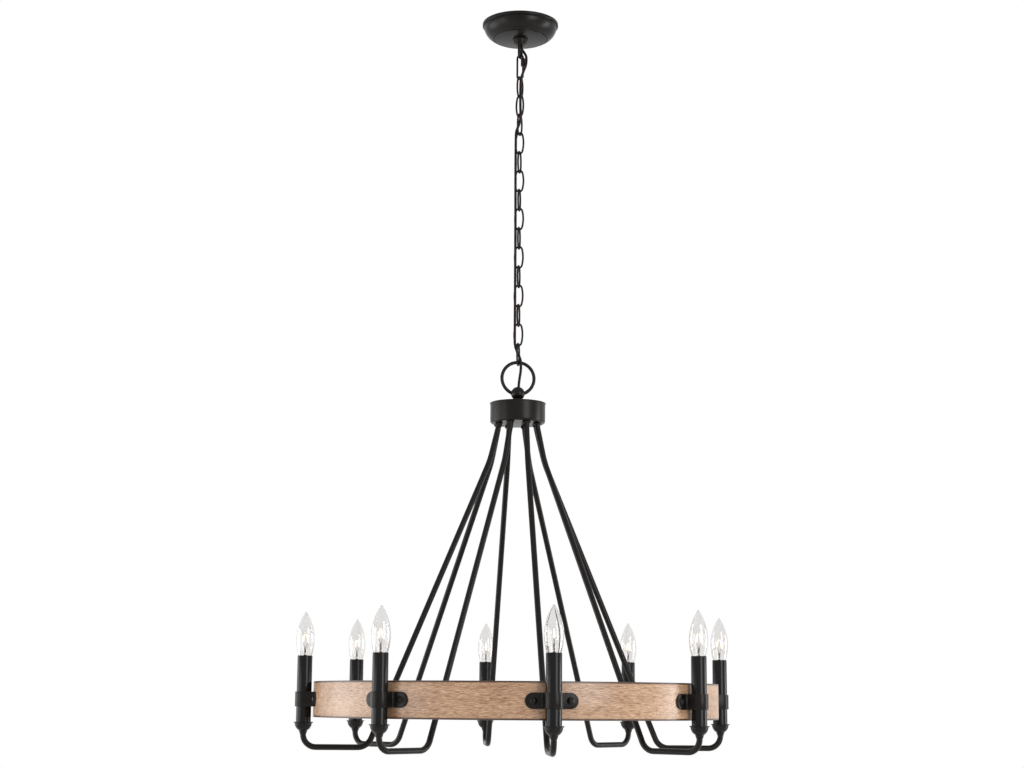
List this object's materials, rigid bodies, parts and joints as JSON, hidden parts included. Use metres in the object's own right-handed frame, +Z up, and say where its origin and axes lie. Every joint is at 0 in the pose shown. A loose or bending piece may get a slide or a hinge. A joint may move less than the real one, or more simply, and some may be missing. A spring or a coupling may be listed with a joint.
{
  "type": "wagon wheel chandelier",
  "caption": "Wooden band ring with candle lights on bent black tube arms from a round hub, hung by a ball, ring, chain and quick link from a ceiling canopy.",
  "frame": {"origin": "centre of the ceiling plate, in the plane of the ceiling", "axes": "+Z up, -Z down the chain; the first light stands at -Y, the third at +X"},
  "size_m": [0.763, 0.763, 1.3188],
  "materials": {
    "zinc_steel": "zinc plated",
    "green_screw": "green plated",
    "black_steel": "satin black powder coat",
    "cord_jacket": "dark brown, slightly glossy",
    "orange_plastic": "moulded",
    "light_wood": "light oak, fine straight grain, satin",
    "phenolic": "moulded",
    "bulb_glass": "clear"
  },
  "bodies": {
    "ceiling_plate": {"mounting_crossbar": "zinc_steel", "ground_screw": "green_screw", "threaded_nipple": "zinc_steel", "nipple_locknuts": "zinc_steel", "canopy_loop": "black_steel", "cord": "cord_jacket"},
    "canopy": {"canopy": "black_steel"},
    "collar": {"canopy_collar": "black_steel"},
    "quick_link": {"quick_link": "black_steel", "quick_link_nut": "black_steel"},
    "link_01": {"chain_link_01": "black_steel"},
    "link_02": {"chain_link_02": "black_steel"},
    "link_03": {"chain_link_03": "black_steel"},
    "link_04": {"chain_link_04": "black_steel"},
    "link_05": {"chain_link_05": "black_steel"},
    "link_06": {"chain_link_06": "black_steel"},
    "link_07": {"chain_link_07": "black_steel"},
    "link_08": {"chain_link_08": "black_steel"},
    "link_09": {"chain_link_09": "black_steel"},
    "link_10": {"chain_link_10": "black_steel"},
    "link_11": {"chain_link_11": "black_steel"},
    "link_12": {"chain_link_12": "black_steel"},
    "link_13": {"chain_link_13": "black_steel"},
    "link_14": {"chain_link_14": "black_steel"},
    "link_15": {"chain_link_15": "black_steel"},
    "ring": {"hanging_ring": "black_steel"},
    "fixture": {"ring_ball": "black_steel", "hub_lid": "black_steel", "hub_pan": "black_steel", "hub_nut": "zinc_steel", "wire_connectors": "orange_plastic", "arm_1": "black_steel", "arm_2": "black_steel", "arm_3": "black_steel", "arm_4": "black_steel", "arm_5": "black_steel", "arm_6": "black_steel", "arm_7": "black_steel", "arm_8": "black_steel", "arm_nuts": "black_steel", "wood_ring": "light_wood", "sleeve_straps": "black_steel", "strap_screws": "black_steel", "candle_cups": "black_steel", "candle_sleeves": "black_steel", "lamp_sockets": "phenolic"},
    "bulb_1": {"bulb_1": "bulb_glass"},
    "bulb_2": {"bulb_2": "bulb_glass"},
    "bulb_3": {"bulb_3": "bulb_glass"},
    "bulb_4": {"bulb_4": "bulb_glass"},
    "bulb_5": {"bulb_5": "bulb_glass"},
    "bulb_6": {"bulb_6": "bulb_glass"},
    "bulb_7": {"bulb_7": "bulb_glass"},
    "bulb_8": {"bulb_8": "bulb_glass"}
  },
  "joints": [
    {"name": "canopy_slide", "type": "slide", "parent": "ceiling_plate", "child": "canopy", "axis": [0, 0, -1], "range_m": [0, 0.018]},
    {"name": "collar_turn", "type": "hinge", "parent": "canopy", "child": "collar", "pos_m": [0, 0, -0.033], "axis": [0, 0, 1], "continuous": true},
    {"name": "quick_link_swing", "type": "hinge", "parent": "ceiling_plate", "child": "quick_link", "pos_m": [0, 0, -0.064], "axis": [0.454, 0.891, 0], "range_deg": [-15, 15], "deforming": ["cord"]},
    {"name": "link_01_swing", "type": "hinge", "parent": "quick_link", "child": "link_01", "pos_m": [0, 0, -0.1057], "axis": [0.829, -0.5592, 0], "range_deg": [-8, 8]},
    {"name": "link_02_swing", "type": "hinge", "parent": "link_01", "child": "link_02", "pos_m": [0, 0, -0.14145], "axis": [0.7547, 0.6561, 0], "range_deg": [-8, 8]},
    {"name": "link_03_swing", "type": "hinge", "parent": "link_02", "child": "link_03", "pos_m": [0, 0, -0.17725], "axis": [0.7193, -0.6947, 0], "range_deg": [-8, 8]},
    {"name": "link_04_swing", "type": "hinge", "parent": "link_03", "child": "link_04", "pos_m": [0, 0, -0.21305], "axis": [0.6293, 0.7771, 0], "range_deg": [-8, 8]},
    {"name": "link_05_swing", "type": "hinge", "parent": "link_04", "child": "link_05", "pos_m": [0, 0, -0.24885], "axis": [0.829, -0.5592, 0], "range_deg": [-8, 8]},
    {"name": "link_06_swing", "type": "hinge", "parent": "link_05", "child": "link_06", "pos_m": [0, 0, -0.28465], "axis": [0.4848, 0.8746, 0], "range_deg": [-8, 8]},
    {"name": "link_07_swing", "type": "hinge", "parent": "link_06", "child": "link_07", "pos_m": [0, 0, -0.32045], "axis": [0.9135, -0.4067, 0], "range_deg": [-8, 8]},
    {"name": "link_08_swing", "type": "hinge", "parent": "link_07", "child": "link_08", "pos_m": [0, 0, -0.35625], "axis": [0.4067, 0.9135, 0], "range_deg": [-8, 8]},
    {"name": "link_09_swing", "type": "hinge", "parent": "link_08", "child": "link_09", "pos_m": [0, 0, -0.39205], "axis": [0.9135, -0.4067, 0], "range_deg": [-8, 8]},
    {"name": "link_10_swing", "type": "hinge", "parent": "link_09", "child": "link_10", "pos_m": [0, 0, -0.42785], "axis": [0.4067, 0.9135, 0], "range_deg": [-8, 8]},
    {"name": "link_11_swing", "type": "hinge", "parent": "link_10", "child": "link_11", "pos_m": [0, 0, -0.46365], "axis": [0.9135, -0.4067, 0], "range_deg": [-8, 8]},
    {"name": "link_12_swing", "type": "hinge", "parent": "link_11", "child": "link_12", "pos_m": [0, 0, -0.49945], "axis": [0.4067, 0.9135, 0], "range_deg": [-8, 8]},
    {"name": "link_13_swing", "type": "hinge", "parent": "link_12", "child": "link_13", "pos_m": [0, 0, -0.53525], "axis": [0.9135, -0.4067, 0], "range_deg": [-8, 8]},
    {"name": "link_14_swing", "type": "hinge", "parent": "link_13", "child": "link_14", "pos_m": [0, 0, -0.57105], "axis": [0.4067, 0.9135, 0], "range_deg": [-8, 8]},
    {"name": "link_15_swing", "type": "hinge", "parent": "link_14", "child": "link_15", "pos_m": [0, 0, -0.60685], "axis": [0.9135, -0.4067, 0], "range_deg": [-8, 8]},
    {"name": "ring_swing", "type": "hinge", "parent": "link_15", "child": "ring", "pos_m": [0, 0, -0.64265], "axis": [0.4067, 0.9135, 0], "range_deg": [-15, 15]},
    {"name": "fixture_swing", "type": "hinge", "parent": "ring", "child": "fixture", "pos_m": [0, 0, -0.6943], "axis": [1, 0, 0], "range_deg": [-15, 15]},
    {"name": "bulb_1_turn", "type": "hinge", "parent": "fixture", "child": "bulb_1", "pos_m": [0, -0.365, -1.2], "axis": [0, 0, 1], "range_deg": [0, 1800]},
    {"name": "bulb_2_turn", "type": "hinge", "parent": "fixture", "child": "bulb_2", "pos_m": [0.25809, -0.25809, -1.2], "axis": [0, 0, 1], "range_deg": [0, 1800]},
    {"name": "bulb_3_turn", "type": "hinge", "parent": "fixture", "child": "bulb_3", "pos_m": [0.365, 0, -1.2], "axis": [0, 0, 1], "range_deg": [0, 1800]},
    {"name": "bulb_4_turn", "type": "hinge", "parent": "fixture", "child": "bulb_4", "pos_m": [0.25809, 0.25809, -1.2], "axis": [0, 0, 1], "range_deg": [0, 1800]},
    {"name": "bulb_5_turn", "type": "hinge", "parent": "fixture", "child": "bulb_5", "pos_m": [0, 0.365, -1.2], "axis": [0, 0, 1], "range_deg": [0, 1800]},
    {"name": "bulb_6_turn", "type": "hinge", "parent": "fixture", "child": "bulb_6", "pos_m": [-0.25809, 0.25809, -1.2], "axis": [0, 0, 1], "range_deg": [0, 1800]},
    {"name": "bulb_7_turn", "type": "hinge", "parent": "fixture", "child": "bulb_7", "pos_m": [-0.365, 0, -1.2], "axis": [0, 0, 1], "range_deg": [0, 1800]},
    {"name": "bulb_8_turn", "type": "hinge", "parent": "fixture", "child": "bulb_8", "pos_m": [-0.25809, -0.25809, -1.2], "axis": [0, 0, 1], "range_deg": [0, 1800]}
  ]
}
